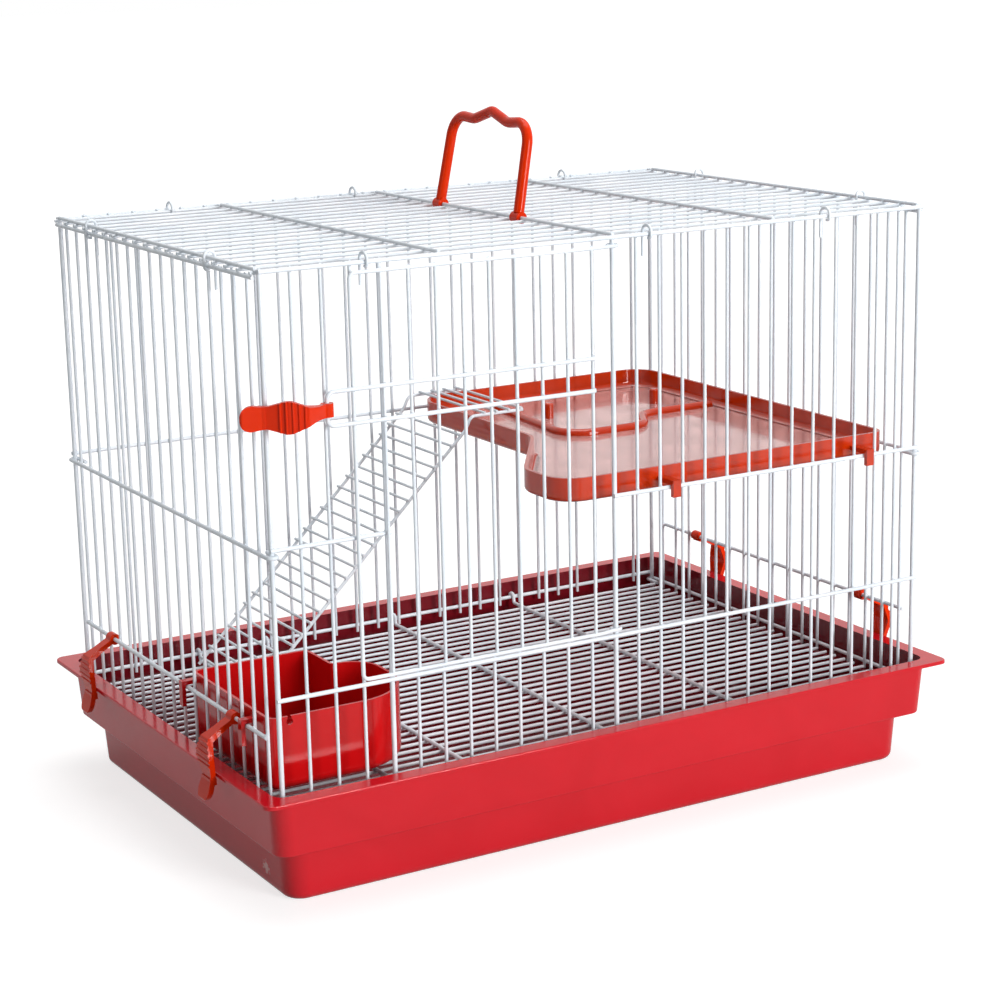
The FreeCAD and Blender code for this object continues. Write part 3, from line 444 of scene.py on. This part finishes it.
# %% Studio floor
FLOOR_SIDE = 30.0
FLOOR_DROP = 0.2 * MM
PAPER_GREY = "#B4B4B4"
MIRRORED_SHARE = 0.4
# The glow of the paper grows from the first distance, where it is dim, to the second, where it is full.
GLOW_FROM, GLOW_FULL, GLOW_DIM = 0.5, 2.5, 0.72


def studio_floor():
    sheet = bmesh.new()
    bmesh.ops.create_grid(sheet, x_segments=1, y_segments=1, size=FLOOR_SIDE / 2)
    bmesh.ops.translate(sheet, verts=sheet.verts, vec=(0, 0, -FLOOR_DROP))
    mesh = bpy.data.meshes.new("studio_floor")
    sheet.to_mesh(mesh)
    sheet.free()
    floor = bpy.data.objects.new("studio_floor", mesh)
    bpy.context.scene.collection.objects.link(floor)
    finish, tree = new_finish("white_paper_sweep")
    rays = add_node(tree, "ShaderNodeLightPath")
    seen = add_node(tree, "ShaderNodeMath", {
        0: rays.outputs["Is Camera Ray"], 1: rays.outputs["Is Transmission Ray"]}, operation="MAXIMUM")
    shown = add_node(tree, "ShaderNodeMath", {
        0: rays.outputs["Is Glossy Ray"], 1: MIRRORED_SHARE, 2: seen.outputs["Value"],
    }, operation="MULTIPLY_ADD")
    place = add_node(tree, "ShaderNodeTexCoord").outputs["Object"]
    reach = add_node(tree, "ShaderNodeVectorMath", {0: place}, operation="LENGTH")
    fade = add_node(tree, "ShaderNodeMapRange", {
        "Value": reach.outputs["Value"], "From Min": GLOW_FROM, "From Max": GLOW_FULL,
        "To Min": GLOW_DIM, "To Max": 1.0})
    strength = add_node(tree, "ShaderNodeMath", {
        0: shown.outputs["Value"], 1: fade.outputs["Result"]}, operation="MULTIPLY")
    paper = add_node(tree, "ShaderNodeBsdfDiffuse", {"Color": linear(PAPER_GREY)})
    glow = add_node(tree, "ShaderNodeEmission", {"Strength": strength.outputs["Value"]})
    both = add_node(tree, "ShaderNodeAddShader", {0: paper.outputs["BSDF"], 1: glow.outputs["Emission"]})
    add_node(tree, "ShaderNodeOutputMaterial", {"Surface": both.outputs["Shader"]})
    mesh.materials.append(finish)


studio_floor()
print("floor laid")

# %% [markdown]
# Light comes from a big soft box at the front right, a weaker one above, a faint one at the left, and a white
# surround that is dimmest at the front left. So the left side of the tray gets the least, as in the
# photograph.

# %% Studio light
BRIGHT_WAY = Vector((0.5, 0.62, 0.6)).normalized()
# How far a direction leans to the bright way at the dim and at the bright end, and the light there.
ROOM_FROM, ROOM_TO, ROOM_DIM, ROOM_BRIGHT = -0.6, 0.9, 0.16, 0.46
MIRROR_FROM, MIRROR_TO, MIRROR_DIM, MIRROR_BRIGHT = -0.5, 0.8, 0.10, 0.9


def soft_box(name, place, target, side, power):
    lamp = bpy.data.lights.new(name, "AREA")
    lamp.shape = "SQUARE"
    lamp.size = side
    lamp.energy = power
    box = bpy.data.objects.new(name, lamp)
    aim = Vector(target) - Vector(place)
    box.matrix_world = Matrix.Translation(place) @ aim.to_track_quat("-Z", "Y").to_matrix().to_4x4()
    bpy.context.scene.collection.objects.link(box)


def surround():
    world = bpy.data.worlds.new("studio_room")
    bpy.context.scene.world = world
    world.use_nodes = True
    tree = world.node_tree
    tree.nodes.clear()
    rays = add_node(tree, "ShaderNodeLightPath")
    shown = add_node(tree, "ShaderNodeMath", {
        0: rays.outputs["Is Camera Ray"], 1: rays.outputs["Is Transmission Ray"]}, operation="MAXIMUM")
    way = add_node(tree, "ShaderNodeTexCoord").outputs["Generated"]
    lean = add_node(tree, "ShaderNodeVectorMath", {0: way, 1: BRIGHT_WAY}, operation="DOT_PRODUCT")
    room = add_node(tree, "ShaderNodeMapRange", {
        "Value": lean.outputs["Value"], "From Min": ROOM_FROM, "From Max": ROOM_TO,
        "To Min": ROOM_DIM, "To Max": ROOM_BRIGHT})
    mirrored = add_node(tree, "ShaderNodeMapRange", {
        "Value": lean.outputs["Value"], "From Min": MIRROR_FROM, "From Max": MIRROR_TO,
        "To Min": MIRROR_DIM, "To Max": MIRROR_BRIGHT})
    unseen = add_node(tree, "ShaderNodeMix", {
        MIX_SHARE: rays.outputs["Is Glossy Ray"], VALUE_A: room.outputs["Result"],
        VALUE_B: mirrored.outputs["Result"]})
    strength = add_node(tree, "ShaderNodeMix", {
        MIX_SHARE: shown.outputs["Value"], VALUE_A: unseen.outputs[VALUE_OUT], VALUE_B: 1.0})
    sky = add_node(tree, "ShaderNodeBackground", {
        "Color": (1, 1, 1, 1), "Strength": strength.outputs[VALUE_OUT]})
    add_node(tree, "ShaderNodeOutputWorld", {"Surface": sky.outputs["Background"]})


soft_box("front_soft_box", (0.8, -2.8, 0.8), (0, 0, 0.18), side=1.2, power=78)
soft_box("left_soft_box", (-2.6, -0.9, 1.0), (0, 0, 0.15), side=1.0, power=3)
soft_box("top_soft_box", (0.3, 0.3, 2.4), (0, 0, 0.2), side=1.6, power=28)
surround()
print("lit")

# %% [markdown]
# The camera was worked out from the photograph: where it stood, how it was turned and how long its lens was.

# %% Camera
EYE = Vector((-0.76895, -1.34001, 0.55480))
YAW, PITCH, ROLL = (math.radians(a) for a in (30.065, 13.570, -1.263))
LENS_MM, SENSOR_MM = 85.83, 36
FAR_CLIP = 100


def photo_camera():
    ahead = Vector((math.cos(PITCH) * math.sin(YAW), math.cos(PITCH) * math.cos(YAW), -math.sin(PITCH)))
    level = Vector((math.cos(YAW), -math.sin(YAW), 0))
    over = level.cross(ahead)
    right = math.cos(ROLL) * level + math.sin(ROLL) * over
    up = math.cos(ROLL) * over - math.sin(ROLL) * level
    data = bpy.data.cameras.new("photo_camera")
    data.sensor_width = SENSOR_MM
    data.lens = LENS_MM
    data.clip_end = FAR_CLIP
    camera = bpy.data.objects.new("photo_camera", data)
    turn = Matrix((right, up, -ahead)).transposed()
    camera.matrix_world = Matrix.Translation(EYE) @ turn.to_4x4()
    bpy.context.scene.collection.objects.link(camera)
    bpy.context.scene.camera = camera


photo_camera()
bpy.context.scene.view_settings.view_transform = "Standard"
print("camera placed")

# %% [markdown]

# %% Finish
print("scene ready")
